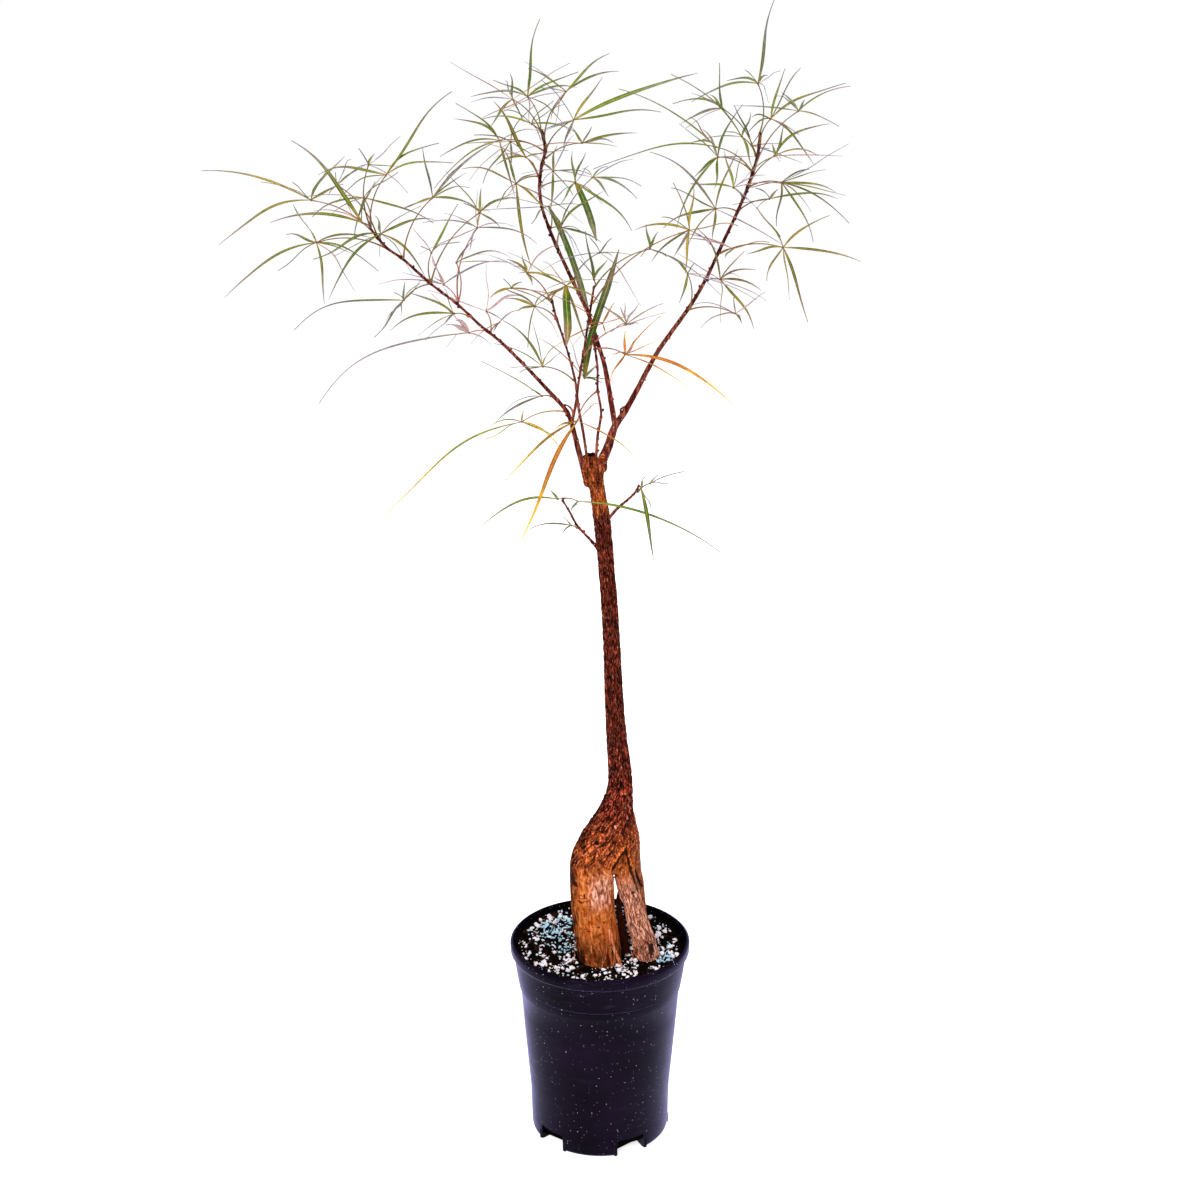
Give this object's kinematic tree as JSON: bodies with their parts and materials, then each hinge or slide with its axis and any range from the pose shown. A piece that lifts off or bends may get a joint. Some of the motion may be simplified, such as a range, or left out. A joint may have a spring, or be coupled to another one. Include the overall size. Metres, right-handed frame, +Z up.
{
  "type": "potted bottle tree",
  "caption": "Young bottle tree standing on raised root legs in a black nursery pot, with a pruned crown, long thin branches and palmate leaves of very narrow leaflets.",
  "frame": {"origin": "centre of the pot's flat underside, at the surface that it stands on", "axes": "+Z up the trunk, front towards -Y, +X to the right as seen from the front"},
  "size_m": [0.5313, 0.2896, 1.0117],
  "materials": {
    "pot_plastic": "moulded black polypropylene, satin, lightly scuffed and dusty",
    "soil_mix": "near-black bark and peat mix with white perlite and pale blue fertilizer grains",
    "bark": "orange-brown fibrous root legs under a dark red-brown furrowed trunk, matte",
    "young_bark": "smooth dark maroon shoots with grey-pink highlights, satin",
    "leaf_green": "bright green leaf, satin",
    "leaf_olive": "olive green leaf, satin",
    "leaf_grey": "young grey-green leaf, satin",
    "leaf_pink": "young pink leaf, satin",
    "leaf_yellow": "yellowing leaf, satin",
    "leaf_orange": "orange-brown turning leaf, satin"
  },
  "bodies": {
    "root": {"pot": "pot_plastic", "soil": "soil_mix", "trunk": "bark", "left_branch": "young_bark", "right_branch": "young_bark", "centre_branch": "young_bark", "inner_shoot_left": "young_bark", "inner_shoot_middle": "young_bark", "inner_shoot_right": "young_bark", "trunk_shoot_left": "young_bark", "trunk_shoot_right": "young_bark", "left_branch_leaf_01": "leaf_yellow", "left_branch_leaf_02": "leaf_olive", "left_branch_leaf_03": "leaf_pink", "left_branch_leaf_04": "leaf_olive", "left_branch_leaf_05": "leaf_pink", "left_branch_leaf_06": "leaf_olive", "left_branch_leaf_07": "leaf_grey", "left_branch_leaf_08": "leaf_olive", "left_branch_leaf_09": "leaf_olive", "left_branch_leaf_10": "leaf_green", "left_branch_leaf_11": "leaf_olive", "left_branch_leaf_12": "leaf_olive", "centre_branch_leaf_01": "leaf_grey", "centre_branch_leaf_02": "leaf_grey", "centre_branch_leaf_03": "leaf_green", "centre_branch_leaf_04": "leaf_green", "centre_branch_leaf_05": "leaf_olive", "centre_branch_leaf_06": "leaf_olive", "centre_branch_leaf_07": "leaf_orange", "centre_branch_leaf_08": "leaf_green", "centre_branch_leaf_09": "leaf_olive", "centre_branch_leaf_10": "leaf_olive", "centre_branch_leaf_11": "leaf_green", "inner_shoot_left_leaf_01": "leaf_olive", "inner_shoot_left_leaf_02": "leaf_orange", "inner_shoot_left_leaf_03": "leaf_olive", "inner_shoot_middle_leaf_01": "leaf_green", "inner_shoot_middle_leaf_02": "leaf_pink", "inner_shoot_middle_leaf_03": "leaf_orange", "inner_shoot_middle_leaf_04": "leaf_olive", "inner_shoot_middle_leaf_05": "leaf_green", "inner_shoot_right_leaf_01": "leaf_orange", "inner_shoot_right_leaf_02": "leaf_orange", "right_branch_leaf_01": "leaf_orange", "right_branch_leaf_02": "leaf_olive", "right_branch_leaf_03": "leaf_orange", "right_branch_leaf_04": "leaf_olive", "right_branch_leaf_05": "leaf_olive", "right_branch_leaf_06": "leaf_olive", "right_branch_leaf_07": "leaf_olive", "right_branch_leaf_08": "leaf_green", "right_branch_leaf_09": "leaf_grey", "right_branch_leaf_10": "leaf_green", "right_branch_leaf_11": "leaf_olive", "right_branch_leaf_12": "leaf_grey", "trunk_shoot_left_leaf_01": "leaf_grey", "trunk_shoot_left_leaf_02": "leaf_green", "trunk_shoot_right_leaf_01": "leaf_green"}
  },
  "joints": []
}
